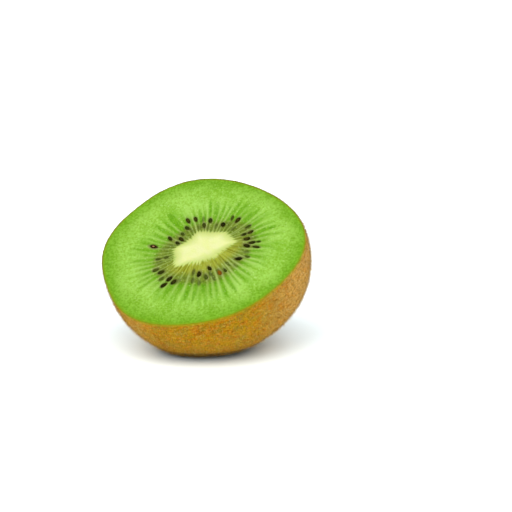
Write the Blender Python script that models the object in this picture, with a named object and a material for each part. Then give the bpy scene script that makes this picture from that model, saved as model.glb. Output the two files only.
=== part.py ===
"""Half of a kiwi fruit, cut across and lying tipped back on its rounded end.

Units are metres and +Z is up. The fruit is modelled in its own frame: the cut face lies in the
plane z = 0 and the skin bulges below it. The finished object is then turned and tipped to the
way it lies, with the origin under the middle of its bounding box, at the level it rests on.
"""
import math
import random

import bmesh
import bpy
from mathutils import Euler, Matrix, Vector

# Driving dimensions of the half
CUT_LENGTH = 0.0550  # across the cut face, the long way
CUT_WIDTH = 0.0480  # across the cut face, the short way
DEPTH = 0.0320  # from the cut face to the end of the fruit
SIDE_POWER = 2.2  # 2 is an ellipsoid, more is blunter
OUTLINE_WAVES = {3: (0.024, -0.008), 4: (0.008, -0.002), 5: (0.001, 0.010), 6: (0.003, -0.006)}
RIM_ROUNDING = 0.00035
SKIN_SWELL = 0.00022  # height of the slow unevenness of the skin
SKIN_SWELL_WAVES = ((3, 5, 1.0), (5, -8, 0.6))  # turns around, turns down, strength

# How it lies
FACE_TILT = math.radians(38.9)  # cut face from level, towards -Y
FACE_TURN = math.radians(14.5)  # long way of the cut, within the face
FLAT_DEPTH = 0.0011  # the fruit settles on a flat this deep

# The cut face: a firm pale core that stands a little proud, with a softer ring of seeds round it
CORE_CENTRE = (0.0010, 0.0008)
CORE_RADIUS = 0.0062
CORE_WAVES = {1: (-0.0006, 0.0003), 2: (0.0015, 0.0009), 4: (0.0001, 0.0006)}
CORE_RISE = 0.00022
CORE_SLOPE = 0.0012
SEED_BED_SAG = 0.00028
SEED_BED_WIDTH = 0.0110

# Seeds: each arc of the ring holds a few of them, spread evenly in an inner and an outer row
SEED_LENGTH = 0.0021
SEED_WIDTH = 0.0013
SEED_THICKNESS = 0.0011
SEED_PROUD = 0.00030  # how far a seed stands out of the flesh
SEED_ROWS = (0.0029, 0.0055)  # distance of each row from the edge of the core
SEED_ARCS = (  # from and to angle in degrees, number of seeds, row of the first
    (-4, 30, 8, 1), (46, 61, 3, 1), (85, 126, 5, 0), (138, 170, 5, 0),
    (189, 209, 4, 0), (223, 233, 3, 1), (249, 307, 6, 0), (335, 343, 2, 1),
)
SEED_ANGLE_JITTER = 2.0
SEED_ROW_JITTER = 0.0011
SEED_LEAN = 14.0  # degrees away from pointing at the core
SEED_SIZE_SPREAD = 0.12
SEED_TAPER = 0.5  # the end towards the core is narrower
SEED_DRAW = 3321

# The dry stub at the end of the fruit
STUB_RADIUS = 0.0026
STUB_TIP_RADIUS = 0.0017
STUB_HEIGHT = 0.0009
STUB_ROOT = 0.0012

# Facets
AROUND = 80
DOWN = 44
FACE_RINGS = 12
SEED_SIDES = 6
SEED_BANDS = 4
STUB_SIDES = 14
RIM_BANDS = 2
CORE_RINGS = 3  # how many of the face's rings lie on the core
RING_CROWDING = 1.5  # above 1 draws the other rings towards the core
SHARP_EDGE = math.radians(35)

# Colours and roughness
SKIN_LOOK = ((0.40, 0.22, 0.05), 0.85)
FLESH_LOOK = ((0.30, 0.62, 0.06), 0.35)
SEED_LOOK = ((0.020, 0.012, 0.008), 0.30)
STUB_LOOK = ((0.12, 0.06, 0.03), 0.90)


def wave_sum(waves, angle):
    return sum(a * math.cos(n * angle) + b * math.sin(n * angle) for n, (a, b) in waves.items())


def outline_point(angle):
    """Point of the cut face's outline at a given angle."""
    stretch = 1.0 + wave_sum(OUTLINE_WAVES, angle)
    return Vector((
        0.5 * CUT_LENGTH * stretch * math.cos(angle),
        0.5 * CUT_WIDTH * stretch * math.sin(angle),
        0.0,
    ))


def core_edge(angle):
    """Distance from the core's centre to its edge at a given angle about that centre."""
    return CORE_RADIUS + wave_sum(CORE_WAVES, angle)


def smooth_step(value):
    value = min(1.0, max(0.0, value))
    return value * value * (3.0 - 2.0 * value)


def face_height(x, y):
    """Relief of the cut face: the core is proud, the ring of seeds has sunk."""
    dx, dy = x - CORE_CENTRE[0], y - CORE_CENTRE[1]
    beyond = math.hypot(dx, dy) - core_edge(math.atan2(dy, dx))
    rise = CORE_RISE * smooth_step(0.5 - beyond / CORE_SLOPE)
    sag = SEED_BED_SAG * smooth_step(1.0 - abs(2.0 * beyond / SEED_BED_WIDTH - 0.9))
    return rise - sag


def skin_point(unit):
    """Place of a point of the lower unit half-sphere on the fruit's skin."""
    angle = math.atan2(unit.y, unit.x)
    level = math.hypot(unit.x, unit.y)
    power = 2.0 / SIDE_POWER
    reach = level ** power
    drop = max(0.0, -unit.z) ** power
    waves = sum(s * math.sin(n * angle + m * unit.z) for n, m, s in SKIN_SWELL_WAVES)
    edge = outline_point(angle)
    swell = edge.normalized() * SKIN_SWELL * drop * level * waves
    return edge * reach + swell + Vector((0.0, 0.0, -DEPTH * drop))


def cut_point(unit):
    """Place of a point of the unit disc on the cut face: rings run from the core out to the rim."""
    rim = outline_point(math.atan2(unit.y, unit.x))
    centre = Vector((*CORE_CENTRE, 0.0))
    outwards = (rim - centre).normalized()
    core = centre + outwards * core_edge(math.atan2(outwards.y, outwards.x))
    level = math.hypot(unit.x, unit.y) * FACE_RINGS
    if level <= CORE_RINGS:
        point = centre.lerp(core, level / CORE_RINGS)
    else:
        share = (level - CORE_RINGS) / (FACE_RINGS - CORE_RINGS)
        point = core.lerp(rim, share ** RING_CROWDING)
    return Vector((point.x, point.y, face_height(point.x, point.y)))


def make_material(name, look):
    colour, roughness = look
    material = bpy.data.materials.new(name)
    material.use_nodes = True
    shader = material.node_tree.nodes["Principled BSDF"]
    shader.inputs["Base Color"].default_value = (*colour, 1.0)
    shader.inputs["Roughness"].default_value = roughness
    shader.inputs["Metallic"].default_value = 0.0
    return material


def make_object(name, bm, materials, collection):
    mesh = bpy.data.meshes.new(name)
    bmesh.ops.recalc_face_normals(bm, faces=bm.faces)
    bm.to_mesh(mesh)
    bm.free()
    for material in materials:
        mesh.materials.append(material)
    obj = bpy.data.objects.new(name, mesh)
    collection.objects.link(obj)
    return obj


def make_body(skin, flesh, lie):
    """The bare half: a shaped half-sphere, its cut face in rings, and the flat it lies on."""
    bm = bmesh.new()
    bmesh.ops.create_uvsphere(bm, u_segments=AROUND, v_segments=DOWN, radius=1.0)
    whole = bm.verts[:] + bm.edges[:] + bm.faces[:]
    bmesh.ops.bisect_plane(
        bm, geom=whole, dist=1e-5, plane_co=(0, 0, 0), plane_no=(0, 0, 1), clear_outer=True,
    )
    rim = [edge for edge in bm.edges if edge.is_boundary]
    skin_verts = bm.verts[:]

    # The cut face grows inwards from the rim, ring by ring, and closes at the middle
    cut_faces = []
    ring = rim
    for step in range(FACE_RINGS - 1, 0, -1):
        grown = bmesh.ops.extrude_edge_only(bm, edges=ring)["geom"]
        inner = [item for item in grown if isinstance(item, bmesh.types.BMVert)]
        shrink = step / (step + 1)
        bmesh.ops.scale(bm, verts=inner, vec=(shrink, shrink, 1.0))
        cut_faces += [item for item in grown if isinstance(item, bmesh.types.BMFace)]
        ring = [item for item in grown if isinstance(item, bmesh.types.BMEdge)]
    middle = bmesh.ops.edgeloop_fill(bm, edges=ring)["faces"]
    cut_faces += bmesh.ops.poke(bm, faces=middle)["faces"]
    for face in cut_faces:
        face.material_index = 1
    for vert in {vert for face in cut_faces for vert in face.verts} - set(skin_verts):
        vert.co = cut_point(vert.co)
    for vert in skin_verts:
        vert.co = skin_point(vert.co)
    bmesh.ops.bevel(
        bm, geom=rim, offset=RIM_ROUNDING, segments=RIM_BANDS, profile=0.5, affect='EDGES',
    )

    # The flat is level once the fruit is tipped, so it is cut square to that direction
    down = lie.inverted() @ Vector((0, 0, -1))
    lowest = max(bm.verts, key=lambda vert: vert.co.dot(down)).co
    whole = bm.verts[:] + bm.edges[:] + bm.faces[:]
    cut = bmesh.ops.bisect_plane(
        bm, geom=whole, dist=1e-6, plane_co=lowest - down * FLAT_DEPTH, plane_no=down,
        clear_outer=True,
    )["geom_cut"]
    bmesh.ops.edgeloop_fill(bm, edges=[item for item in cut if isinstance(item, bmesh.types.BMEdge)])
    return make_object("kiwi_half", bm, (skin, flesh), bpy.context.scene.collection)


def seed_places():
    """Centre, heading and size factor of each seed: two staggered rows round the core."""
    draw = random.Random(SEED_DRAW)
    places = []
    for start, end, count, first_row in SEED_ARCS:
        for index in range(count):
            share = index / (count - 1)
            angle = start + (end - start) * share + draw.uniform(-1, 1) * SEED_ANGLE_JITTER
            angle = math.radians(angle)
            row = SEED_ROWS[(index + first_row) % len(SEED_ROWS)]
            reach = core_edge(angle) + row + draw.uniform(-1, 1) * SEED_ROW_JITTER
            x = CORE_CENTRE[0] + reach * math.cos(angle)
            y = CORE_CENTRE[1] + reach * math.sin(angle)
            heading = angle + math.radians(draw.uniform(-1, 1) * SEED_LEAN)
            size = 1.0 + draw.uniform(-1, 1) * SEED_SIZE_SPREAD
            places.append((x, y, heading, size))
    return places


def make_seeds(dark, collection):
    """Small flattened teardrops, narrow end towards the core, half sunk in the flesh."""
    for x, y, heading, size in seed_places():
        bm = bmesh.new()
        bmesh.ops.create_uvsphere(bm, u_segments=SEED_SIDES, v_segments=SEED_BANDS, radius=0.5)
        bmesh.ops.rotate(bm, verts=bm.verts, matrix=Matrix.Rotation(math.pi / 2, 3, 'Y'))
        for vert in bm.verts:
            taper = 1.0 + SEED_TAPER * vert.co.x
            vert.co = Vector((
                vert.co.x * SEED_LENGTH,
                vert.co.y * SEED_WIDTH * taper,
                vert.co.z * SEED_THICKNESS * taper,
            )) * size
        bmesh.ops.rotate(bm, verts=bm.verts, matrix=Matrix.Rotation(heading, 3, 'Z'))
        centre = Vector((x, y, face_height(x, y) + SEED_PROUD - 0.5 * SEED_THICKNESS))
        bmesh.ops.translate(bm, verts=bm.verts, vec=centre)
        make_object("seed", bm, (dark,), collection)


def make_stub(dark, collection):
    """The dry stub left by the flower at the end of the fruit."""
    bm = bmesh.new()
    bmesh.ops.create_cone(
        bm, cap_ends=True, segments=STUB_SIDES, radius1=STUB_TIP_RADIUS, radius2=STUB_RADIUS,
        depth=STUB_HEIGHT + STUB_ROOT,
    )
    middle = -DEPTH + 0.5 * (STUB_ROOT - STUB_HEIGHT)
    bmesh.ops.translate(bm, verts=bm.verts, vec=(0.0, 0.0, middle))
    make_object("stub", bm, (dark,), collection)


def fuse(body, additions):
    """One body of the half and everything in the collection, which is then removed."""
    union = body.modifiers.new("Fuse", 'BOOLEAN')
    union.operation = 'UNION'
    union.operand_type = 'COLLECTION'
    union.collection = additions
    union.solver = 'EXACT'
    union.material_mode = 'TRANSFER'
    bpy.context.view_layer.objects.active = body
    bpy.ops.object.modifier_apply(modifier=union.name)
    for obj in list(additions.objects):
        bpy.data.objects.remove(obj)
    bpy.data.collections.remove(additions)


def lay_down(body, lie):
    """Turn and tip the half, and set its bounding box on the origin."""
    corners = [lie @ vert.co for vert in body.data.vertices]
    low = [min(corner[axis] for corner in corners) for axis in range(3)]
    high = [max(corner[axis] for corner in corners) for axis in range(3)]
    body.rotation_euler = lie.to_euler()
    body.location = (-0.5 * (low[0] + high[0]), -0.5 * (low[1] + high[1]), -low[2])


def build():
    for obj in list(bpy.data.objects):
        bpy.data.objects.remove(obj)
    lie = Euler((FACE_TILT, 0.0, 0.0)).to_matrix() @ Matrix.Rotation(FACE_TURN, 3, 'Z')
    skin = make_material("kiwi skin", SKIN_LOOK)
    flesh = make_material("kiwi flesh", FLESH_LOOK)
    dark = make_material("kiwi seed", SEED_LOOK)
    dry = make_material("kiwi stub", STUB_LOOK)

    body = make_body(skin, flesh, lie)
    additions = bpy.data.collections.new("Fused pieces")
    bpy.context.scene.collection.children.link(additions)
    make_seeds(dark, additions)
    make_stub(dry, additions)
    fuse(body, additions)
    body.data.shade_smooth()
    body.data.set_sharp_from_angle(angle=SHARP_EDGE)
    lay_down(body, lie)


build()
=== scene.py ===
import math
import random

import bpy
import numpy as np
from mathutils import Euler, Matrix, Vector


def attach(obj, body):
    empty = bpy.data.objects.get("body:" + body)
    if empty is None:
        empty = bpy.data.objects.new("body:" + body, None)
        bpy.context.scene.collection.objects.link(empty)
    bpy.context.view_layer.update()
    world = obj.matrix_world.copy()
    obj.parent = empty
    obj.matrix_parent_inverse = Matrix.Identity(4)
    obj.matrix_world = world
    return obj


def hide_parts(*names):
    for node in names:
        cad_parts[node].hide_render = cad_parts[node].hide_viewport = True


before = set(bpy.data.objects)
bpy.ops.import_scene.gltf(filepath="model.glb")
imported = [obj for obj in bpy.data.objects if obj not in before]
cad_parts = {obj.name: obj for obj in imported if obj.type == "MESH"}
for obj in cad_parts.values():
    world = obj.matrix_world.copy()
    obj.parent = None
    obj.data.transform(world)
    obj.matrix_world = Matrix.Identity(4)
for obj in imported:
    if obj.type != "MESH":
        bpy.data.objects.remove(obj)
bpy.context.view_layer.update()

# The flesh
# Green flesh with a firm pale core, grown as one piece inside the skin and cut straight across with
# a knife. Pale walls run out from the core between the seed chambers, and the cut is wet with juice.
MM = 0.001
CUT_LENGTH = 55.0 * MM
CUT_WIDTH = 48.0 * MM
DEPTH = 32.0 * MM
SIDE_POWER = 2.2
OUTLINE_WAVES = {3: (0.024, -0.008), 4: (0.008, -0.002), 5: (0.001, 0.010), 6: (0.003, -0.006)}
SKIN_SWELL = 0.22 * MM
SKIN_SWELL_WAVES = ((3, 5, 1.0), (5, -8, 0.6))  # turns around, turns down, strength
FACE_TILT = math.radians(38.9)
FACE_TURN = math.radians(14.5)
FLAT_DEPTH = 1.1 * MM
CORE_CENTRE = np.array((1.0, 0.8)) * MM
CORE_RADIUS = 6.2 * MM
CORE_WAVES = {1: (-0.6, 0.3), 2: (1.5, 0.9), 4: (0.1, 0.6)}  # millimetres
CORE_RISE = 0.22 * MM
CORE_SLOPE = 1.2 * MM
SEED_BED_SAG = 0.28 * MM
SEED_BED_WIDTH = 11.0 * MM


def wave_sum(waves, angle):
    return sum(a * np.cos(n * angle) + b * np.sin(n * angle) for n, (a, b) in waves.items())


def ease(value, low, high):
    """0 below low and 1 above high, rising smoothly between; low may be the larger."""
    value = np.clip((value - low) / (high - low), 0.0, 1.0)
    return value * value * (3.0 - 2.0 * value)


def outline(angle):
    """Points on the rim of the cut."""
    stretch = 1.0 + wave_sum(OUTLINE_WAVES, angle)
    oval = np.stack([0.5 * CUT_LENGTH * np.cos(angle), 0.5 * CUT_WIDTH * np.sin(angle)], -1)
    return oval * stretch[..., None]


def core_edge(angle):
    return CORE_RADIUS + wave_sum(CORE_WAVES, angle) * MM


def skin_surface(unit):
    """Points of the lower unit half-ball, moved to the fruit's outside."""
    angle = np.arctan2(unit[:, 1], unit[:, 0])
    level = np.hypot(unit[:, 0], unit[:, 1])
    power = 2.0 / SIDE_POWER
    reach = level ** power
    drop = np.maximum(0.0, -unit[:, 2]) ** power
    waves = sum(s * np.sin(n * angle + m * unit[:, 2]) for n, m, s in SKIN_SWELL_WAVES)
    edge = outline(angle)
    outwards = edge / np.linalg.norm(edge, axis=1)[:, None]
    swell = outwards * (SKIN_SWELL * drop * level * waves)[:, None]
    return np.column_stack([edge * reach[:, None] + swell, -DEPTH * drop])


def face_height(beyond):
    """Relief of the cut at a distance beyond the core's edge: a proud core and a sunken seed bed."""
    rise = CORE_RISE * ease(0.5 - beyond / CORE_SLOPE, 0.0, 1.0)
    sag = SEED_BED_SAG * ease(1.0 - abs(2.0 * beyond / SEED_BED_WIDTH - 0.9), 0.0, 1.0)
    return rise - sag


def points_of(piece):
    places = np.empty(len(piece.data.vertices) * 3)
    piece.data.vertices.foreach_get("co", places)
    return places.reshape(-1, 3)


def move_points(piece, places):
    piece.data.vertices.foreach_set("co", places.ravel())
    piece.data.update()


def turned_half(name, around, down, rings=0):
    """The lower half of a unit ball, spun from its profile; with rings, its flat top is closed too."""
    bpy.ops.object.select_all(action='DESELECT')
    bpy.ops.mesh.primitive_circle_add(vertices=4 * down, radius=1.0, rotation=(0.5 * math.pi, 0, 0))
    ball = bpy.context.object
    ball.name = name
    bpy.ops.object.transform_apply(location=False, rotation=True, scale=False)
    bpy.ops.object.mode_set(mode='EDIT')
    bpy.ops.mesh.select_mode(type='VERT')
    for side in ((-1, 0, 0), (0, 0, 1)):
        bpy.ops.mesh.select_all(action='SELECT')
        bpy.ops.mesh.bisect(plane_co=(0, 0, 0), plane_no=side, clear_outer=True, threshold=1e-6)
    if rings:
        bpy.ops.mesh.select_all(action='DESELECT')
        bpy.ops.object.mode_set(mode='OBJECT')
        for point in ball.data.vertices:
            point.select = point.co.x > 0.9999
        bpy.ops.object.mode_set(mode='EDIT')
        bpy.ops.mesh.extrude_region_move(TRANSFORM_OT_translate={"value": (-1.0, 0.0, 0.0)})
        bpy.ops.object.mode_set(mode='OBJECT')
        for edge in ball.data.edges:
            edge.select = all(abs(ball.data.vertices[v].co.z) < 1e-4 for v in edge.vertices)
        bpy.ops.object.mode_set(mode='EDIT')
        bpy.ops.mesh.select_mode(type='EDGE')
        bpy.ops.mesh.subdivide(number_cuts=rings - 1)
    bpy.ops.object.mode_set(mode='OBJECT')
    spin = ball.modifiers.new("Spin", 'SCREW')
    spin.steps = spin.render_steps = around
    spin.use_merge_vertices = True
    spin.merge_threshold = 1e-5
    bpy.ops.object.modifier_apply(modifier=spin.name)
    bpy.ops.object.mode_set(mode='EDIT')
    bpy.ops.mesh.select_all(action='SELECT')
    bpy.ops.mesh.normals_make_consistent(inside=False)
    bpy.ops.object.mode_set(mode='OBJECT')
    return ball


# The fruit is made with its cut level, then turned, tipped and set down on its flat
lie = np.array(Euler((FACE_TILT, 0.0, 0.0)).to_matrix() @ Matrix.Rotation(FACE_TURN, 3, 'Z'))
turns, drops = np.meshgrid(np.linspace(0.0, math.tau, 361)[:-1], np.linspace(0.0, 0.5 * math.pi, 91))
turns, drops = turns.ravel(), drops.ravel()
ball = np.column_stack([np.cos(drops) * np.cos(turns), np.cos(drops) * np.sin(turns), -np.sin(drops)])
tipped = skin_surface(ball) @ lie.T
low, high = tipped.min(0), tipped.max(0)
set_down = np.array([-0.5 * (low[0] + high[0]), -0.5 * (low[1] + high[1]), -low[2] - FLAT_DEPTH])


def lay(places):
    """Points of the level fruit, where they are once it lies on its flat."""
    return places @ lie.T + set_down


FLESH_AROUND = 640
FLESH_DOWN = 14
CUT_RINGS = 120
CORE_RINGS = 16
FLESH_INSET = 0.13 * MM  # the skin outside it
FLESH_EDGE = 0.16 * MM  # rounding at the rim

flesh = turned_half("flesh", FLESH_AROUND, FLESH_DOWN, CUT_RINGS)
unit = points_of(flesh)
on_cut = unit[:, 2] > -1e-4
turn = np.arctan2(unit[:, 1], unit[:, 0])
level = np.hypot(unit[:, 0], unit[:, 1]) * CUT_RINGS
shrink = 1.0 - FLESH_INSET / (0.5 * CUT_WIDTH)
rim = outline(turn) * shrink
outwards = rim - CORE_CENTRE
rim_reach = np.linalg.norm(outwards, axis=1)
bearing = np.arctan2(outwards[:, 1], outwards[:, 0]) % math.tau
core_reach = core_edge(bearing)
share = np.clip((level - CORE_RINGS) / (CUT_RINGS - CORE_RINGS), 0.0, 1.0)
share = 1.0 - (1.0 - share ** 1.12) ** 1.12  # rings crowd at the core's edge and at the rim
inner = 1.0 - (1.0 - np.clip(level / CORE_RINGS, 0.0, 1.0)) ** 1.3
outer_reach = core_reach + (rim_reach - core_reach) * share
reach = np.where(level <= CORE_RINGS, core_reach * inner, outer_reach)
beyond = reach - core_reach
from_rim = rim_reach - reach
x = CORE_CENTRE[0] + reach * np.cos(bearing)
y = CORE_CENTRE[1] + reach * np.sin(bearing)

# The core is angular and paler than the flesh
CORE_CORNERS = (  # millimetres on the cut
    (9.8, 1.8), (8.2, 3.4), (6.6, 5.3), (3.5, 5.6), (0.8, 6.3), (-1.2, 6.4), (-1.9, 5.4), (-3.2, 3.9),
    (-4.6, 3.0), (-7.4, 1.6), (-6.9, -0.7), (-7.0, -3.5), (-6.3, -4.4), (-4.0, -4.1), (-0.8, -3.9),
    (3.0, -3.1), (4.6, -2.2), (6.0, -0.8), (8.0, 0.6),
)
corners = np.array(CORE_CORNERS) * MM - CORE_CENTRE
steps = np.linspace(0.0, 1.0, 24, endpoint=False)[:, None]
sides = np.concatenate([a + (b - a) * steps for a, b in zip(corners, np.roll(corners, -1, axis=0))])
side_bearing = np.arctan2(sides[:, 1], sides[:, 0]) % math.tau
order = np.argsort(side_bearing)
side_reach = np.hypot(sides[:, 0], sides[:, 1])[order]
past_core = reach - np.interp(bearing, side_bearing[order], side_reach, period=math.tau)

# Pale walls run straight out from all along the core's long axis, closest together above and below it
# and faint at its two ends
WALLS = 52
CROWDED_AT = ((0.27, 0.08), (0.85, 0.09))  # middle and spread, as shares of the way round
FAINT_AT = ((math.radians(183.0), 0.45), (math.radians(22.0), 0.3))  # bearing and how much fainter
CORE_AXIS = math.radians(13.0)
AXIS_SLIDE = 3.0 * MM
SWAY = 0.14 * MM  # sideways wander of the walls
SWAY_LENGTH = 2.4 * MM
WALL_HALF = 0.12 * MM  # half the width of a wall at the core
WALL_STRENGTHS = (0.3, 1.0)
growth = np.random.default_rng(38)
wall_bearing = bearing.copy()
for step in range(6):
    slide = AXIS_SLIDE * np.cos(wall_bearing - CORE_AXIS)
    from_x = x - CORE_CENTRE[0] - slide * math.cos(CORE_AXIS)
    from_y = y - CORE_CENTRE[1] - slide * math.sin(CORE_AXIS)
    wall_bearing = np.arctan2(from_y, from_x) % math.tau
run = np.hypot(from_x, from_y)
round_trip = np.linspace(0.0, math.tau, 721)
crowding = core_edge(round_trip) ** 0.6
passed = np.concatenate([[0.0], np.cumsum(0.5 * (crowding[1:] + crowding[:-1]))])
passed /= passed[-1]
sway = SWAY * np.sin(beyond / SWAY_LENGTH + 3.0 * bearing)
along = np.interp((wall_bearing + sway / np.maximum(run, AXIS_SLIDE)) % math.tau, round_trip, passed)
millimetres = run * math.tau / (np.interp(wall_bearing, round_trip, crowding) / crowding.mean())
wall_at = (np.arange(WALLS) + 0.5 + growth.uniform(-0.24, 0.24, WALLS)) / WALLS
shares = np.linspace(0.0, 1.0, 501)
density = 1.0 + 0.6 * sum(np.exp(-((shares - middle) / spread) ** 2) for middle, spread in CROWDED_AT)
wall_at = np.interp(wall_at, np.cumsum(density) / density.sum(), shares)
faint = sum(most * ease(np.cos(bearing - middle), 0.65, 0.92) for middle, most in FAINT_AT)
before = (np.searchsorted(wall_at, along, side='right') - 1) % WALLS
after = (before + 1) % WALLS
half_gap = 0.5 * ((wall_at[after] - wall_at[before]) % 1.0) * millimetres
aside = abs(((along - wall_at[before]) % 1.0) * millimetres - half_gap)
from_wall = half_gap - aside

# Between two walls lies a seed chamber: rounded at the core, then narrowing to a deep green point.
# The chambers reach further out below and to the right, so the distance is measured less the lean.
CHAMBER_STARTS = (-0.1, 0.4)  # millimetres past the core's edge
CHAMBER_ENDS = (9.8, 14.8)
CHAMBER_DEPTHS = (0.5, 1.0)
CHAMBER_ROUNDING = 0.9 * MM
below = ease(-np.sin(bearing), -0.2, 0.6)
lean = (0.5 + 0.7 * np.cos(bearing) - 1.7 * np.sin(bearing)) * MM
zone = beyond - lean
chamber_start = growth.uniform(*CHAMBER_STARTS, WALLS)[before] * MM
chamber_end = growth.uniform(*CHAMBER_ENDS, WALLS)[before] * MM + lean
chamber_depth = growth.uniform(*CHAMBER_DEPTHS, WALLS)[before]
along_chamber = np.clip(beyond / chamber_end, 0.0, 1.0)
full_until = 0.42 + 0.14 * ease(np.sin(bearing), 0.4, 0.9)
narrowing = np.clip((along_chamber - full_until) / (1.0 - full_until), 0.0, 1.0) ** 1.2
wall_half = WALL_HALF + np.maximum(half_gap - WALL_HALF, 0.0) * narrowing
rounding = np.clip((past_core - chamber_start) / CHAMBER_ROUNDING, 0.0, 1.0)
chamber_half = (half_gap - wall_half) * np.sqrt(1.0 - (1.0 - rounding) ** 2)
softness = (WALL_HALF + 0.018 * np.maximum(beyond, 0.0)) * (1.0 + 1.5 * faint)
chamber = ease(chamber_half - aside, -softness, softness)
chamber *= ease(past_core, -0.3 * MM, 0.3 * MM)
chamber *= ease(beyond, chamber_end + 0.5 * MM, chamber_end - 4.0 * MM)
tip = chamber * ease(zone, 3.8 * MM, 6.0 * MM) * chamber_depth * (1.0 - 0.6 * faint)
nearer = np.where(((along - wall_at[before]) % 1.0) * millimetres < half_gap, before, after)
wall_width = WALL_HALF + 0.022 * np.maximum(beyond, 0.0)
wall = np.exp(-(from_wall / wall_width) ** 2) * growth.uniform(*WALL_STRENGTHS, WALLS)[nearer]
wall *= ease(past_core, -0.8 * MM, 0.2 * MM) * ease(zone, 13.5 * MM, 8.0 * MM) * (1.0 - faint)
bed = ease(past_core, -0.6 * MM, 0.5 * MM) * ease(zone, 6.6 * MM, 4.2 * MM)

# The core frays out into the walls and draws back between them
FRAY_WIDTH = 0.26 * MM
FRAY_OUT = 0.55 * MM
FRAY_BACK = 0.2 * MM
RIPPLES = 190
wallness = np.exp(-(from_wall / FRAY_WIDTH) ** 2)
ripple = growth.uniform(-1.0, 1.0, RIPPLES)
ripple_at = np.linspace(0.0, math.tau, RIPPLES + 1)
streaks = np.interp(wall_bearing, ripple_at, np.append(ripple, ripple[0]))
fray = FRAY_OUT * wallness - FRAY_BACK * (1.0 - wallness) + (0.15 + 0.35 * below) * MM * streaks
core = ease(past_core - fray, 0.45 * MM, -0.70 * MM)
core_depth = ease(past_core, 0.4 * MM, -3.2 * MM)

# Seeds as they lie on the cut: millimetres across and up, heading in degrees, length, width, and how
# far the flesh veils them
OPENED_SEED = (-13.1, 3.4, 161, 2.4, 1.35, 0.0)
UNRIPE_SEED = (5.5, -7.5, -60, 2.2, 1.15, 0.0)
SEEDS = (
    (-8.7, 5.5, 130, 1.9, 1.0, 0.0), (-5.5, 4.7, 135, 2.1, 1.1, 0.0), (-6.5, 3.5, 138, 1.7, 1.0, 0.1),
    (-5.3, 6.5, 138, 1.7, 0.9, 0.45), (-4.2, 8.4, 131, 1.9, 1.1, 0.2), (-4.1, 10.9, 120, 2.2, 1.1, 0.0),
    (-2.1, 11.1, 110, 1.9, 1.1, 0.0), (0.4, 8.6, 98, 2.0, 1.0, 0.2), (2.0, 10.1, 96, 1.9, 1.2, 0.1),
    (5.6, 8.2, 80, 1.7, 1.35, 0.0), (8.0, 10.2, 73, 1.8, 0.9, 0.45), (9.5, 9.3, 50, 2.1, 1.25, 0.0),
    (12.4, 6.7, 28, 2.0, 0.9, 0.4), (13.2, 4.7, 27, 1.9, 1.0, 0.0), (11.5, 4.1, 22, 1.6, 0.9, 0.1),
    (12.3, 2.6, 4, 2.1, 1.1, 0.0), (13.8, 1.2, 2, 2.1, 1.0, 0.05), (15.6, 1.2, -10, 1.4, 0.7, 0.3),
    (12.4, 0.4, -24, 2.1, 1.15, 0.0), (15.1, -0.5, -22, 2.3, 0.9, 0.1), (10.4, -3.7, -8, 2.3, 1.15, 0.0),
    (12.8, -3.4, -25, 1.6, 0.9, 0.6), (7.0, -7.0, -56, 1.6, 0.8, 0.3), (2.7, -5.9, -56, 1.7, 1.05, 0.0),
    (1.9, -8.5, -70, 2.0, 1.1, 0.5), (0.0, -7.3, -92, 2.0, 1.25, 0.0), (-8.0, -7.9, 226, 2.1, 1.35, 0.0),
    (-6.8, -9.1, 228, 2.0, 1.35, 0.05), (-9.4, -9.9, 219, 2.2, 1.25, 0.0), (-10.4, -5.4, 200, 2.1, 1.2, 0.1),
    (-12.0, -4.5, 200, 1.9, 1.1, 0.35), (-9.3, -0.8, 181, 1.4, 0.9, 0.45), (-11.5, -1.0, 180, 1.7, 0.8, 0.5),
    (-10.2, -7.6, 222, 1.8, 1.0, 0.7),
)
BURIED_LENGTH, BURIED_WIDTH = 2.0, 0.95
BURIED_SEEDS = (  # across, up, heading, how strongly each shows through
    (0.1, 10.8, 92, 0.6), (3.8, 8.0, 82, 0.6), (8.6, 6.4, 45, 0.6), (14.3, 2.8, 8, 0.4),
    (12.6, -1.8, -12, 0.5), (7.6, -5.0, -40, 0.6), (3.2, -7.8, -66, 0.8), (4.1, -9.3, -66, 0.6),
    (-1.5, -6.6, -95, 0.8), (-1.6, -9.4, -98, 0.7), (0.2, -10.4, -88, 0.7), (-5.5, -9.1, 236, 0.55),
    (-10.9, -2.3, 190, 0.4), (6.9, 8.0, 66, 0.4), (-0.9, 8.2, 108, 0.45), (1.5, 7.7, 94, 0.4),
    (-2.9, 7.4, 120, 0.3), (9.7, -6.0, -40, 0.4), (-9.9, 2.4, 172, 0.3), (-8.2, 2.8, 160, 0.35),
)


def seed_distance(across, up, heading, length, width):
    """Distance from a seed's middle, in half lengths and widths of that seed."""
    dx, dy = x - across * MM, y - up * MM
    heading = math.radians(heading)
    lengthways = (dx * math.cos(heading) + dy * math.sin(heading)) / (0.5 * length * MM)
    sideways = (dy * math.cos(heading) - dx * math.sin(heading)) / (0.5 * width * MM)
    return np.hypot(lengthways, sideways), lengthways, sideways


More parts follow.
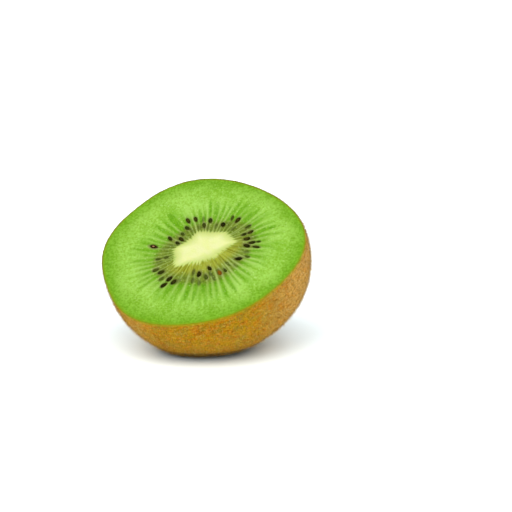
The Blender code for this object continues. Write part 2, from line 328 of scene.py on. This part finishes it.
pit_and_shade = np.zeros(len(unit))
veil_and_highlight = np.zeros(len(unit))
ghost = np.zeros(len(unit))
lean_side = random.Random(7)
for across, up, heading, length, width, _ in (OPENED_SEED, UNRIPE_SEED) + SEEDS:
    nearness, lengthways, sideways = seed_distance(across, up, heading, length, width)
    pit_and_shade = np.maximum(pit_and_shade, ease(nearness, 1.45, 0.95))
    # Each seed gets a pale halo on one side: its wet membrane, with painted highlight.
    side = lean_side.choice((-1.0, 1.0))
    lit_side = ease(side * sideways + 0.3 * lengthways, -1.2, 0.8)
    halo = ease(nearness, 1.7, 1.2) * ease(nearness, 0.85, 1.0) * lit_side
    veil_and_highlight = np.maximum(veil_and_highlight, halo * lean_side.uniform(0.1, 0.6))
for across, up, heading, strength in BURIED_SEEDS:
    nearness = seed_distance(across, up, heading, BURIED_LENGTH, BURIED_WIDTH)[0]
    ghost = np.maximum(ghost, strength * ease(nearness, 1.45, 0.6))

WALL_RISE = 0.05 * MM
TIP_SAG = 0.05 * MM
PIT_SAG = 0.10 * MM
CHAMBER_SAG = 0.04 * MM
height = face_height(beyond) + WALL_RISE * wall - TIP_SAG * tip - PIT_SAG * pit_and_shade
height -= CHAMBER_SAG * bed * chamber
inside_edge = np.clip(FLESH_EDGE - from_rim, 0.0, FLESH_EDGE)
height -= FLESH_EDGE - np.sqrt(FLESH_EDGE ** 2 - inside_edge ** 2)
cut_places = np.column_stack([x, y, height])
dome_places = skin_surface(unit) * shrink
dome_places[:, 2] -= FLESH_EDGE * ease(unit[:, 2], -0.12, 0.0)
flesh_places = lay(np.where(on_cut[:, None], cut_places, dome_places))
flesh_places[:, 2] = np.maximum(flesh_places[:, 2], FLESH_INSET)
move_points(flesh, flesh_places)


def keep_on_points(piece, name, values):
    kind, entry = ('FLOAT', "value") if values.ndim == 1 else ('FLOAT_VECTOR', "vector")
    layer = piece.data.attributes.new(name, kind, 'POINT')
    layer.data.foreach_set(entry, values.astype(np.float32).ravel())


OLIVE_BEARING = math.radians(288.0)  # below the core the flesh is olive
PAINTED_LIGHT_BEARING = math.radians(45.0)  # the side where the deep green at the rim is narrowest, which paints that side of the cut lighter as if more light fell there
FIBRES_AROUND = 30.0
FIBRE_LENGTH = 5.0 * MM
olive = ease(past_core, -0.6 * MM, 0.3 * MM) * ease(beyond, 4.4 * MM, 1.8 * MM)
olive *= ease(np.cos(bearing - OLIVE_BEARING), -0.15, 0.55)
covered = np.where(on_cut, 1.0, 0.0)
for name, values in (
    ("core", core), ("core_depth", core_depth), ("wall", wall), ("chamber", chamber * (1.0 - core)),
    ("tip", tip), ("bed", bed), ("olive", olive), ("ghost", ghost), ("pit_and_shade", pit_and_shade), ("veil_and_highlight", veil_and_highlight),
):
    keep_on_points(flesh, name, values * covered)
keep_on_points(flesh, "zone_mm", zone / MM)
# Painted light: a narrower deep green rim makes one side of the cut lighter.
painted_light_narrowing = 0.98 + 0.16 * np.cos(bearing - PAINTED_LIGHT_BEARING)
keep_on_points(flesh, "rim_mm", from_rim / MM * covered * painted_light_narrowing)
around_x, around_y = FIBRES_AROUND * np.cos(wall_bearing), FIBRES_AROUND * np.sin(wall_bearing)
keep_on_points(flesh, "spokes", np.column_stack([around_x, around_y, reach / FIBRE_LENGTH]))
bpy.ops.object.shade_smooth()


class Shade:
    """A socket of a material's nodes: arithmetic on it adds Math nodes, and node() adds any other."""

    def __init__(self, tree, socket=None):
        self.tree = tree
        self.socket = socket

    def node(self, kind, settings, inputs, output=0):
        made = self.tree.nodes.new(kind)
        for name, value in settings.items():
            setattr(made, name, value)
        for name, value in inputs.items():
            if isinstance(value, Shade):
                self.tree.links.new(value.socket, made.inputs[name])
            else:
                made.inputs[name].default_value = value
        return Shade(self.tree, made.outputs[output])

    def maths(self, operation, first, second):
        return self.node("ShaderNodeMath", {"operation": operation}, {0: first, 1: second})

    def __add__(self, other):
        return self.maths('ADD', self, other)

    def __sub__(self, other):
        return self.maths('SUBTRACT', self, other)

    def __mul__(self, other):
        return self.maths('MULTIPLY', self, other)

    def __rsub__(self, other):
        return self.maths('SUBTRACT', other, self)

    __radd__ = __add__
    __rmul__ = __mul__

    def rise(self, low, high):
        """0 below low and 1 above high, rising smoothly between; low may be the larger."""
        flip = low > high
        inputs = {0: self, 1: min(low, high), 2: max(low, high), 3: float(flip), 4: float(not flip)}
        return self.node("ShaderNodeMapRange", {"interpolation_type": 'SMOOTHSTEP'}, inputs)

    def between(self, first, second):
        """A colour between two others, by this value."""
        return self.node("ShaderNodeMix", {"data_type": 'RGBA'}, {0: self, 6: first, 7: second}, 2)

    def own(self, name, output="Fac"):
        """One of the values kept on the piece's points."""
        return self.node("ShaderNodeAttribute", {"attribute_name": name}, {}, output)

    def noise(self, scale, detail=3.0, roughness=0.55, where=None):
        where = where or self.node("ShaderNodeTexCoord", {}, {}, "Object")
        inputs = {"Vector": where, "Scale": scale, "Detail": detail, "Roughness": roughness}
        return self.node("ShaderNodeTexNoise", {}, inputs)

    def relief(self, height, strength, distance):
        inputs = {"Height": height, "Strength": strength, "Distance": distance}
        return self.node("ShaderNodeBump", {}, inputs)


def paint(red, green, blue):
    """A colour as the eye and a screen give it, 0 to 255, as the light it sends back."""
    parts = [value / 255 for value in (red, green, blue)]
    parts = [p / 12.92 if p <= 0.04045 else ((p + 0.055) / 1.055) ** 2.4 for p in parts]
    return (*parts, 1.0)


def new_finish(name, **fixed):
    """A material with its constant values set, and a Shade to build the others from."""
    material = bpy.data.materials.new(name)
    material.use_nodes = True
    shader = material.node_tree.nodes["Principled BSDF"]
    for setting, value in fixed.items():
        shader.inputs[setting.replace("_", " ")].default_value = value
    return material, Shade(material.node_tree), shader


def wear(piece, material, shader, **parts):
    """Puts a material on a piece once its varying parts are joined to the shader."""
    for name, part in parts.items():
        part.tree.links.new(part.socket, shader.inputs[name.replace("_", " ")])
    piece.data.materials.clear()
    piece.data.materials.append(material)


material, start, shader = new_finish(
    "wet green flesh", Subsurface_Weight=0.2, Subsurface_Scale=0.0007,
    Subsurface_Radius=(0.7, 1.0, 0.3), Coat_Weight=0.04, Coat_Roughness=0.12, IOR=1.38,
    Specular_IOR_Level=0.14,
)
grain = start.noise(1700.0, 3.0, 0.6)
specks = start.noise(2300.0, 1.0)
mottle = start.noise(520.0, 3.0)
patches = start.noise(150.0, 2.0)
streak = start.noise(1.0, 2.0, where=start.own("spokes", "Vector"))
fibres = start.noise(0.45, 3.0, 0.6, where=start.own("spokes", "Vector"))
rim_mm = start.own("rim_mm")
zone_mm = start.own("zone_mm")
tone = (grain * 0.58 + mottle * 0.14 + patches * 0.28).rise(0.39, 0.60)
colour = tone.between(paint(140, 197, 48), paint(176, 226, 94))
fibrous = zone_mm.rise(15.0, 9.0)
colour = (fibrous * fibres.rise(0.51, 0.62) * 0.65).between(colour, paint(118, 184, 28))
colour = (fibrous * fibres.rise(0.49, 0.36) * 0.55).between(colour, paint(186, 234, 112))
colour = (zone_mm.rise(11.5, 6.0) * 0.6).between(colour, paint(130, 178, 48))
rim_grain = (grain * 0.75 + mottle * 0.25).rise(0.38, 0.62)
rim_tone = rim_grain.between(paint(106, 164, 4), paint(132, 192, 34))
colour = ((rim_mm + patches * 2.4 + mottle * 0.8).rise(7.8, 1.4) * 0.9).between(colour, rim_tone)
colour = ((rim_mm + mottle * 0.5).rise(1.1, 0.3) * 0.8).between(colour, paint(136, 170, 18))
seed_zone = grain.rise(0.35, 0.65).between(paint(92, 108, 14), paint(126, 148, 42))
green_zone = grain.rise(0.35, 0.65).between(paint(96, 162, 0), paint(124, 186, 22))
chamber_tone = zone_mm.rise(3.6, 6.0).between(seed_zone, green_zone)
in_chamber = start.own("chamber") * (0.4 + start.own("bed") * 0.4 + start.own("tip") * 0.55)
bed_grain = (streak * 0.6 + grain * 0.4).rise(0.35, 0.65)
bed_tone = bed_grain.between(paint(116, 140, 34), paint(144, 166, 64))
colour = (start.own("bed") * 0.85).between(colour, bed_tone)
colour = (in_chamber * (0.75 + streak * 0.45)).between(colour, chamber_tone)
wall_tone = zone_mm.rise(2.0, 10.5).between(paint(184, 202, 116), paint(182, 230, 108))
colour = (start.own("wall") * (0.5 + streak * 0.6)).between(colour, wall_tone)
olive_grain = (streak * 0.5 + fibres * 0.5).rise(0.38, 0.60)
olive_tone = olive_grain.between(paint(134, 134, 10), paint(182, 190, 62))
colour = (start.own("olive") * 0.85).between(colour, olive_tone)
colour = (start.own("ghost") * 0.9).between(colour, paint(54, 62, 6))
# Pale halo on one side of each seed: wet membrane with painted highlight.
colour = start.own("veil_and_highlight").between(colour, paint(168, 166, 108))
# Pale specks in the outer flesh are painted glints of light on the wet cut.
colour = (specks.rise(0.62, 0.74) * rim_mm.rise(0.8, 5.0) * 0.5).between(colour, paint(210, 240, 140))
core_tone = mottle.rise(0.3, 0.7).between(paint(245, 252, 164), paint(250, 254, 184))
core_tone = start.own("core_depth").between(paint(212, 226, 126), core_tone)
colour = start.own("core").between(colour, core_tone)
# Painted shade darkens the flesh in the small pit round each seed.
colour = (start.own("pit_and_shade") * 0.5).between(colour, paint(84, 84, 28))
gloss = 0.30 + grain * 0.25
bumps = start.relief(grain * 0.5 + streak * 0.2 + mottle * 0.3 + specks * 0.3, 0.4, 0.0002)
wear(flesh, material, shader, Base_Color=colour, Roughness=gloss, Normal=bumps)
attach(flesh, "root")
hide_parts("kiwi_half")

# The skin
# Thin dry brown skin over the whole rounded side, cut off with the flesh so that only its edge shows
# as a fine line round the cut. It is mottled with rust and olive and slightly uneven, with a painted pale
# sheen on its right-hand side and at the far left, and painted shade close to the table.
SHEEN_AZIMUTH = math.radians(23.0)
SHEEN_RIGHT = (10.0 * MM, 26.0 * MM)  # where the painted sheen starts and where it is strongest
SHEEN_LEFT = (-13.0 * MM, -20.0 * MM)
SHEEN_LEFT_SHARE = 0.4
PAINTED_SHADE_HEIGHTS = (3.0 * MM, 1.6 * MM)  # heights at which the painted shade starts and ends
FAR_SIDE_BEARING = math.radians(108.0)
SKIN_AROUND = 400
SKIN_DOWN = 118
SKIN_THICKNESS = 0.20 * MM
SKIN_STEP = (-0.04 * MM, 0.08 * MM)  # how far the skin's ragged edge stays below the wet cut
NICKS = 240
BAND_SQUEEZE = 2.4  # the flecks are short lines that run round the fruit


# Painted sheen: how strongly the skin is paled on its right-hand side and at the far left, where light
# catches it.
def painted_rim_sheen(places):
    sideways = places[:, 0] * math.cos(SHEEN_AZIMUTH) + places[:, 1] * math.sin(SHEEN_AZIMUTH)
    return ease(sideways, *SHEEN_RIGHT) + SHEEN_LEFT_SHARE * ease(sideways, *SHEEN_LEFT)


skin = turned_half("skin", SKIN_AROUND, SKIN_DOWN)
unit = points_of(skin)
turn = np.arctan2(unit[:, 1], unit[:, 0])
places = skin_surface(unit)
nicks = np.random.default_rng(12).uniform(*SKIN_STEP, NICKS)
step = np.interp(turn, np.linspace(-math.pi, math.pi, NICKS + 1), np.append(nicks, nicks[0]))
places[:, 2] -= step * ease(unit[:, 2], -0.05, 0.0)
far_side = ease(np.cos(turn - FAR_SIDE_BEARING), -0.2, 0.3)
keep_on_points(skin, "edge", ease(unit[:, 2], -0.022, -0.002))
keep_on_points(skin, "far_side", far_side)
keep_on_points(skin, "banded", places * (1.0, 1.0, BAND_SQUEEZE))
move_points(skin, lay(places))
bpy.ops.object.shade_smooth()
for name, size, strength in (("Swells", 5.0 * MM, 0.20 * MM), ("Grain", 0.9 * MM, 0.07 * MM)):
    pattern = bpy.data.textures.new(name, 'CLOUDS')
    pattern.noise_scale = size
    pattern.noise_depth = 2
    roughen = skin.modifiers.new(name, 'DISPLACE')
    roughen.texture = pattern
    roughen.strength = strength
    roughen.mid_level = 0.5
    bpy.ops.object.modifier_apply(modifier=roughen.name)
places = points_of(skin)
places[:, 2] = np.maximum(places[:, 2], 0.0)
move_points(skin, places)
keep_on_points(skin, "painted_sheen", painted_rim_sheen(places))
skin_outside = skin.data.copy()
thicken = skin.modifiers.new("Wall", 'SOLIDIFY')
thicken.thickness = SKIN_THICKNESS
thicken.offset = -1.0
bpy.ops.object.modifier_apply(modifier=thicken.name)

material, start, shader = new_finish(
    "dry mottled skin", Specular_IOR_Level=0.0, Sheen_Weight=0.12, Sheen_Roughness=0.4,
    Sheen_Tint=(1.0, 0.78, 0.42, 1.0),
)
banded = start.own("banded", "Vector")
patches = start.noise(110.0, 2.0)
flecks = start.noise(450.0, 3.0, 0.6, where=banded)
specks = start.noise(1250.0, 2.0, where=banded)
blotches = start.noise(270.0, 3.0)
painted_sheen = start.own("painted_sheen")
colour = patches.rise(0.35, 0.65).between(paint(158, 116, 0), paint(174, 132, 12))
colour = (blotches.rise(0.47, 0.58) * 0.7).between(colour, paint(146, 124, 34))
# Painted sheen pales the skin's right-hand side and far left.
colour = (painted_sheen * 0.9).between(colour, paint(222, 170, 92))
colour = (flecks.rise(0.50, 0.58) * (0.76 - painted_sheen * 0.2)).between(colour, paint(184, 104, 0))
colour = (specks.rise(0.53, 0.64) * 0.5).between(colour, paint(212, 164, 62))
colour = (specks.rise(0.46, 0.35) * (0.52 + painted_sheen * 0.2)).between(colour, paint(104, 72, 2))
edge_tone = start.own("far_side").between(paint(156, 158, 28), paint(132, 136, 44))
colour = (start.own("edge") * (flecks.rise(0.35, 0.60) * 0.45 + 0.4)).between(colour, edge_tone)
# Painted shade: the skin darkens close to the table.
place = start.node("ShaderNodeTexCoord", {}, {}, "Object")
above_table = start.node("ShaderNodeSeparateXYZ", {}, {0: place}, "Z")
colour = (above_table.rise(*PAINTED_SHADE_HEIGHTS) * 0.9).between(colour, paint(36, 20, 0))
dry = 0.78 + specks * 0.15
bumps = start.relief(flecks * 0.6 + specks * 0.4, 0.6, 0.0002)
wear(skin, material, shader, Base_Color=colour, Roughness=dry, Normal=bumps)
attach(skin, "root")
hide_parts("kiwi_half")

# The seeds
# Small flat teardrops, smooth, wet and nearly black, narrow end towards the core. They sit half in
# the flesh. The knife has opened one, and one is unripe and orange-brown.
SEED_THICKNESS = 1.1 * MM
SEED_PROUD = 0.26 * MM
SEED_TAPER = 0.5
SEED_TIP = 0.10  # how far the narrow end is drawn out
SEED_BEND = 0.12


def face_level(across, up):
    dx, dy = across * MM - CORE_CENTRE[0], up * MM - CORE_CENTRE[1]
    return float(face_height(math.hypot(dx, dy) - core_edge(math.atan2(dy, dx))))


bpy.ops.object.select_all(action='DESELECT')
bpy.ops.mesh.primitive_uv_sphere_add(
    segments=24, ring_count=14, radius=0.5, rotation=(0, 0.5 * math.pi, 0),
)
pattern_seed = bpy.context.object
bpy.ops.object.transform_apply(location=False, rotation=True, scale=False)
bpy.ops.object.shade_smooth()
places = points_of(pattern_seed)
taper = 1.0 + SEED_TAPER * places[:, 0]
point = 1.0 + SEED_TIP * ease(places[:, 0], -0.3, -0.5)
keep_on_points(pattern_seed, "along", places[:, 0])
move_points(pattern_seed, places * np.column_stack([MM * point, MM * taper, SEED_THICKNESS * taper]))

SEED_SLIMMING = 0.92  # part of the measured width is its shadow in the flesh
SEED_POINTS, OPENED_POINTS = 0.12, 0.45  # how much narrower than an oval the two ends are
top_side = ease(places[:, 2], 0.1, 0.45) * ease(abs(places[:, 0]), 0.38, 0.1)
seed_tones = random.Random(16)
kinds = {"seeds": [], "seed_opened": [], "seed_unripe": []}
for spot in (OPENED_SEED, UNRIPE_SEED) + SEEDS:
    across, up, heading, length, width, hidden = spot
    kind = {OPENED_SEED: "seed_opened", UNRIPE_SEED: "seed_unripe"}.get(spot, "seeds")
    seed = pattern_seed.copy()
    seed.data = pattern_seed.data.copy()
    bpy.context.scene.collection.objects.link(seed)
    depth = face_level(across, up) + SEED_PROUD * (1.0 - 0.5 * hidden) - 0.5 * SEED_THICKNESS
    turn_seed = np.array(Matrix.Rotation(math.radians(heading), 3, 'Z'))
    local = points_of(seed)
    ends = (local[:, 0] / (0.5 * MM)) ** 2
    local[:, 1] *= 1.0 - (OPENED_POINTS if spot == OPENED_SEED else SEED_POINTS) * ends
    local[:, 1] += seed_tones.uniform(-SEED_BEND, SEED_BEND) * MM * ends
    turned = local * (length, width * SEED_SLIMMING, 1.0) @ turn_seed.T
    keep_on_points(seed, "veil_and_highlight", np.full(len(turned), hidden))
    keep_on_points(seed, "sheen", top_side * max(0.0, seed_tones.uniform(-0.5, 1.0)))
    move_points(seed, turned + (across * MM, up * MM, depth))
    kinds[kind].append(seed)
bpy.data.objects.remove(pattern_seed)

OPENED_PROUD = 0.06 * MM
HUSK_STEPS = ((0.45, 0.0), (0.75, 0.03 * MM))  # from the husk in to its heart: shrink and sink
for kind, group in kinds.items():
    bpy.ops.object.select_all(action='DESELECT')
    for seed in group:
        seed.select_set(True)
    bpy.context.view_layer.objects.active = group[0]
    if len(group) > 1:
        bpy.ops.object.join()
    piece = group[0]
    piece.name = kind
    if kind == "seed_opened":
        cut_level = face_level(*OPENED_SEED[:2]) + OPENED_PROUD
        bpy.ops.object.mode_set(mode='EDIT')
        bpy.ops.mesh.select_mode(type='FACE')
        bpy.ops.mesh.select_all(action='SELECT')
        bpy.ops.mesh.bisect(
            plane_co=(0, 0, cut_level), plane_no=(0, 0, 1), clear_outer=True, use_fill=True,
            threshold=1e-6,
        )
        centre = (OPENED_SEED[0] * MM, OPENED_SEED[1] * MM, cut_level)
        for shrink, sink in HUSK_STEPS:
            bpy.ops.mesh.extrude_region_move(TRANSFORM_OT_translate={"value": (0.0, 0.0, -sink)})
            bpy.ops.transform.resize(value=(shrink, shrink, 1.0), center_override=centre)
        bpy.ops.object.mode_set(mode='OBJECT')
        heart = np.zeros(len(piece.data.vertices))
        heart[[v for f in piece.data.polygons if f.select for v in f.vertices]] = 1.0
        keep_on_points(piece, "heart", heart)
    move_points(piece, lay(points_of(piece)))
    piece.data.update()
    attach(piece, "root")
    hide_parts("kiwi_half")

material, start, shader = new_finish(
    "wet dark seed", Coat_Weight=0.01, Coat_Roughness=0.10, IOR=1.45, Specular_IOR_Level=0.03,
)
grain = start.noise(3000.0, 2.0)
colour = grain.rise(0.35, 0.7).between(paint(18, 22, 0), paint(48, 46, 0))
colour = start.own("along").rise(-0.25, -0.5).between(colour, paint(92, 84, 18))
# Painted sheen: some seeds are lighter on top.
colour = (start.own("sheen") * 0.5).between(colour, paint(94, 86, 24))
colour = start.own("veil_and_highlight").between(colour, paint(98, 120, 36))
wear(bpy.data.objects["seeds"], material, shader, Base_Color=colour, Roughness=0.24 + grain * 0.2,
     Normal=start.relief(grain, 0.25, 0.0001))

material, start, shader = new_finish("cut-open seed", Coat_Weight=0.01, Specular_IOR_Level=0.04)
grain = start.noise(5200.0, 2.0)
colour = grain.rise(0.35, 0.7).between(paint(38, 24, 0), paint(62, 38, 4))
heart_tone = grain.between(paint(164, 118, 72), paint(208, 166, 116))
colour = start.own("heart").between(colour, heart_tone)
wear(bpy.data.objects["seed_opened"], material, shader, Base_Color=colour, Roughness=0.3 + grain * 0.2,
     Normal=start.relief(grain, 0.25, 0.0001))

material, start, shader = new_finish("unripe seed", Coat_Weight=0.03, Specular_IOR_Level=0.06)
grain = start.noise(4200.0, 2.0)
colour = grain.rise(0.35, 0.65).between(paint(112, 66, 0), paint(152, 96, 2))
colour = start.own("along").rise(0.05, -0.4).between(colour, paint(120, 112, 30))
wear(bpy.data.objects["seed_unripe"], material, shader, Base_Color=colour, Roughness=0.3 + grain * 0.2,
     Normal=start.relief(grain, 0.25, 0.0001))

# The stub
# The dry brown remains of the flower at the rounded end: a low woody ring with a hollow middle and a
# ragged lip.
STUB_RADIUS = 2.6 * MM
STUB_TIP_RADIUS = 1.7 * MM
STUB_HEIGHT = 0.9 * MM
STUB_ROOT = 1.2 * MM
STUB_INSETS = ((0.35, 0.10), (0.40, -0.35), (0.45, 0.15))  # millimetres: width and rise of each
STUB_RAGGEDNESS = 0.10 * MM
bpy.ops.object.select_all(action='DESELECT')
bpy.ops.mesh.primitive_cone_add(
    vertices=40, radius1=STUB_TIP_RADIUS, radius2=STUB_RADIUS, depth=STUB_HEIGHT + STUB_ROOT,
    location=(0, 0, -DEPTH + 0.5 * (STUB_ROOT - STUB_HEIGHT)),
)
stub = bpy.context.object
stub.name = "stub"
bpy.ops.object.transform_apply(location=True, rotation=False, scale=False)
bpy.ops.object.mode_set(mode='EDIT')
bpy.ops.mesh.select_mode(type='FACE')
bpy.ops.mesh.select_all(action='DESELECT')
bpy.ops.object.mode_set(mode='OBJECT')
for face in stub.data.polygons:
    face.select = face.normal.z < -0.9
bpy.ops.object.mode_set(mode='EDIT')
for width, rise in STUB_INSETS:
    bpy.ops.mesh.inset(thickness=width * MM, depth=rise * MM)
bpy.ops.mesh.select_all(action='SELECT')
bpy.ops.mesh.subdivide(number_cuts=2)
bpy.ops.transform.vertex_random(offset=STUB_RAGGEDNESS, seed=4)
bpy.ops.object.mode_set(mode='OBJECT')
move_points(stub, lay(points_of(stub)))
bpy.ops.object.shade_smooth()
material, start, shader = new_finish("dry flower remains", Sheen_Weight=0.15)
grain = start.noise(2600.0, 4.0, 0.7)
colour = grain.rise(0.3, 0.7).between(paint(58, 34, 16), paint(140, 92, 44))
wear(stub, material, shader, Base_Color=colour, Roughness=0.8 + grain * 0.15,
     Normal=start.relief(grain, 0.8, 0.0003))
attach(stub, "root")
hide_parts("kiwi_half")

# The fuzz
# Short soft hairs all over the skin: golden ones, rust ones, and fewer long pale ones. Each grows out
# of the skin, leans towards the rounded end and narrows to a point.
skin_outside.calc_loop_triangles()
corner_places = np.empty(len(skin_outside.vertices) * 3)
skin_outside.vertices.foreach_get("co", corner_places)
corner_places = corner_places.reshape(-1, 3)
skin_triangles = np.empty(len(skin_outside.loop_triangles) * 3, np.int32)
skin_outside.loop_triangles.foreach_get("vertices", skin_triangles)
skin_triangles = skin_triangles.reshape(-1, 3)
first, second, third = (corner_places[skin_triangles[:, k]] for k in range(3))
crossed = np.cross(second - first, third - first)
areas = 0.5 * np.linalg.norm(crossed, axis=1)
facing = crossed / np.maximum(2.0 * areas, 1e-12)[:, None]
raised = (first[:, 2] + second[:, 2] + third[:, 2]) / 3.0 > 0.02 * MM
end_of_fruit = lay(np.array([[0.0, 0.0, -DEPTH]]))[0]
SIDES = 3
HAIR_LENGTHS = (0.55, 1.25)
HAIR_WANDER = 0.45
HAIR_BEND = 0.35
HAIR_WAIST = 0.75  # width halfway up, as a share of the root's
HAIR_ROOT = 0.08 * MM  # depth in the skin
HAIR_TONES = 0.96  # share of the bake map that the tones take up


def grow_fuzz(name, seed, count, length, width, lean, tones, crowding=0.0):
    """Tapered three-sided hairs, each bent once, with tone and distance from the root on its map."""
    growth = np.random.default_rng(seed)
    chance = np.where(raised, areas, 0.0) * (1.0 + crowding * painted_rim_sheen(first))
    chosen = growth.choice(len(areas), count, p=chance / chance.sum())
    a, b = growth.uniform(0, 1, (2, count))
    a, b = np.where(a + b > 1, 1 - a, a), np.where(a + b > 1, 1 - b, b)
    root = first[chosen] * (1 - a - b)[:, None] + second[chosen] * a[:, None]
    root += third[chosen] * b[:, None]
    up = facing[chosen]
    down_fruit = end_of_fruit - root
    down_fruit -= up * (down_fruit * up).sum(1)[:, None]
    down_fruit /= np.maximum(np.linalg.norm(down_fruit, axis=1), 1e-9)[:, None]
    wander = growth.normal(0.0, 1.0, (count, 3))
    wander -= up * (wander * up).sum(1)[:, None]
    start_way = up + down_fruit * lean + wander * HAIR_WANDER
    start_way /= np.linalg.norm(start_way, axis=1)[:, None]
    end_way = start_way + down_fruit * 0.5 * lean + growth.normal(0.0, HAIR_BEND, (count, 3))
    end_way /= np.linalg.norm(end_way, axis=1)[:, None]
    long = length * growth.uniform(*HAIR_LENGTHS, count)[:, None]
    middle = root + start_way * 0.5 * long
    tip = middle + end_way * 0.5 * long
    root = root - up * HAIR_ROOT
    side = np.cross(start_way, growth.normal(0.0, 1.0, (count, 3)))
    side /= np.linalg.norm(side, axis=1)[:, None]
    other = np.cross(start_way, side)
    angles = [k * math.tau / SIDES for k in range(SIDES)]
    around = [side * math.cos(angle) + other * math.sin(angle) for angle in angles]
    root_ring = [root + way * width for way in around]
    middle_ring = [middle + way * HAIR_WAIST * width for way in around]
    places = np.stack(root_ring + middle_ring + [tip], 1)
    places[:, :, 2] = np.maximum(places[:, :, 2], 0.01 * MM)
    corners = [(0, 2, 1)]
    for k in range(SIDES):
        n = (k + 1) % SIDES
        corners += [(k, n, SIDES + n), (k, SIDES + n, SIDES + k), (SIDES + k, SIDES + n, 2 * SIDES)]
    corners = np.array(corners)
    faces = (np.arange(count)[:, None, None] * (2 * SIDES + 1) + corners).reshape(-1, 3)
    mesh = bpy.data.meshes.new(name)
    mesh.vertices.add(places.shape[0] * places.shape[1])
    mesh.vertices.foreach_set("co", places.ravel())
    mesh.loops.add(faces.size)
    mesh.loops.foreach_set("vertex_index", faces.ravel())
    mesh.polygons.add(len(faces))
    mesh.polygons.foreach_set("loop_start", np.arange(0, faces.size, 3))
    tone = growth.uniform(0.5 - 0.5 * HAIR_TONES, 0.5 + 0.5 * HAIR_TONES, count)
    spread = np.array([-0.004, 0.0, 0.004])
    row_tone = np.concatenate([spread, spread, [0.0]])
    row_level = np.array([0.02, 0.03, 0.02, 0.5, 0.5, 0.5, 0.98])
    uv = np.stack([tone[:, None] + row_tone, np.broadcast_to(row_level, (count, len(row_level)))], -1)
    uv = uv.reshape(-1, 2)[faces.ravel()]
    mesh.uv_layers.new(name="OFBake").data.foreach_set("uv", uv.astype(np.float32).ravel())
    mesh.update(calc_edges=True)
    mesh.validate()
    piece = bpy.data.objects.new(name, mesh)
    bpy.context.scene.collection.objects.link(piece)
    look = name.replace("_", " ")
    material, start, shader = new_finish(look, Roughness=0.6, Specular_IOR_Level=0.15)
    where = start.node("ShaderNodeUVMap", {"uv_map": "OFBake"}, {})
    tone = where.node("ShaderNodeSeparateXYZ", {}, {0: where}, "X")
    along = where.node("ShaderNodeSeparateXYZ", {}, {0: where}, "Y")
    root_tone, tip_tone, odd_tone = tones
    colour = along.rise(0.1, 0.9).between(root_tone, tip_tone)
    colour = (tone.rise(0.55, 0.95) * 0.7).between(colour, odd_tone)
    wear(piece, material, shader, Base_Color=colour)
    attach(piece, "root")


grow_fuzz("fuzz_gold", 21, 18500, 0.85 * MM, 0.020 * MM, 0.7,
          (paint(144, 104, 2), paint(220, 180, 80), paint(200, 128, 12)))
grow_fuzz("fuzz_rust", 22, 18500, 0.70 * MM, 0.022 * MM, 1.0,
          (paint(120, 76, 0), paint(190, 122, 14), paint(130, 118, 16)))
# The long pale hairs crowd where the skin has its painted sheen, and add to it.
grow_fuzz("fuzz_pale", 23, 9000, 1.20 * MM, 0.019 * MM, 0.4,
          (paint(172, 130, 40), paint(246, 222, 156), paint(218, 174, 84)), 2.5)

# The table and the light
# A plain white table under broad soft light, brightest from the upper right, with two lamps in front
# that light the table alone.
TABLE_SIZE = 20.0
TABLE_GAP = 0.02 * MM
SKY_STRENGTH = 0.48
LAMPS = (  # name, azimuth and height in degrees, strength, how wide the light is in degrees
    ("Key", 56.0, 54.0, 1.07, 50.0), ("Fill", -50.0, 35.0, 0.40, 60.0),
    ("Table left", -14.0, 44.0, 2.2, 48.0), ("Table right", 32.0, 44.0, 1.9, 48.0),
)
bpy.ops.object.select_all(action='DESELECT')
bpy.ops.mesh.primitive_plane_add(size=TABLE_SIZE, location=(0, 0, -TABLE_GAP))
table = bpy.context.object
table.name = "table"
material, start, shader = new_finish("matt white table", Roughness=0.9)
colour = start.noise(40.0).between(paint(236, 246, 248), paint(239, 249, 250))
wear(table, material, shader, Base_Color=colour)
table_only = bpy.data.collections.new("Table only")
table_only.objects.link(table)

world = bpy.data.worlds.new("Studio")
bpy.context.scene.world = world
world.use_nodes = True
sky = world.node_tree.nodes["Background"]
sky.inputs["Color"].default_value = (1.0, 1.0, 1.0, 1.0)
sky.inputs["Strength"].default_value = SKY_STRENGTH
for name, azimuth, height, strength, softness in LAMPS:
    lamp = bpy.data.lights.new(name, 'SUN')
    lamp.energy = strength
    lamp.angle = math.radians(softness)
    holder = bpy.data.objects.new(name, lamp)
    holder.rotation_euler = (math.radians(90.0 - height), 0.0, math.radians(azimuth))
    bpy.context.scene.collection.objects.link(holder)
    if name.startswith("Table"):
        holder.light_linking.receiver_collection = table_only
bpy.context.scene.view_settings.view_transform = 'Standard'

# The camera
# It looks at the cut from in front and to the right, slightly down, through a long lens.
VIEW_AZIMUTH = math.radians(23.0)
VIEW_ELEVATION = math.radians(15.0)
VIEW_DISTANCE = 0.70
PIXELS_PER_METRE = 3795.0
FRAME_PIXELS = 512
CUT_CENTRE_PIXEL = (200.45, 250.6)
back = Vector((
    math.sin(VIEW_AZIMUTH) * math.cos(VIEW_ELEVATION),
    -math.cos(VIEW_AZIMUTH) * math.cos(VIEW_ELEVATION),
    math.sin(VIEW_ELEVATION),
))
right = Vector((math.cos(VIEW_AZIMUTH), math.sin(VIEW_AZIMUTH), 0.0))
up = back.cross(right)
cut_centre = Vector(lay(np.zeros((1, 3)))[0])
middle = 0.5 * FRAME_PIXELS
aim = cut_centre + right * ((middle - CUT_CENTRE_PIXEL[0]) / PIXELS_PER_METRE)
aim -= up * ((middle - CUT_CENTRE_PIXEL[1]) / PIXELS_PER_METRE)
lens = bpy.data.cameras.new("Camera")
lens.sensor_width = 36.0
lens.lens = lens.sensor_width * PIXELS_PER_METRE * VIEW_DISTANCE / FRAME_PIXELS
lens.clip_start = 0.01
camera = bpy.data.objects.new("Camera", lens)
camera.location = cut_centre + back * VIEW_DISTANCE
camera.rotation_euler = (camera.location - aim).to_track_quat('Z', 'Y').to_euler()
bpy.context.scene.collection.objects.link(camera)
bpy.context.scene.camera = camera
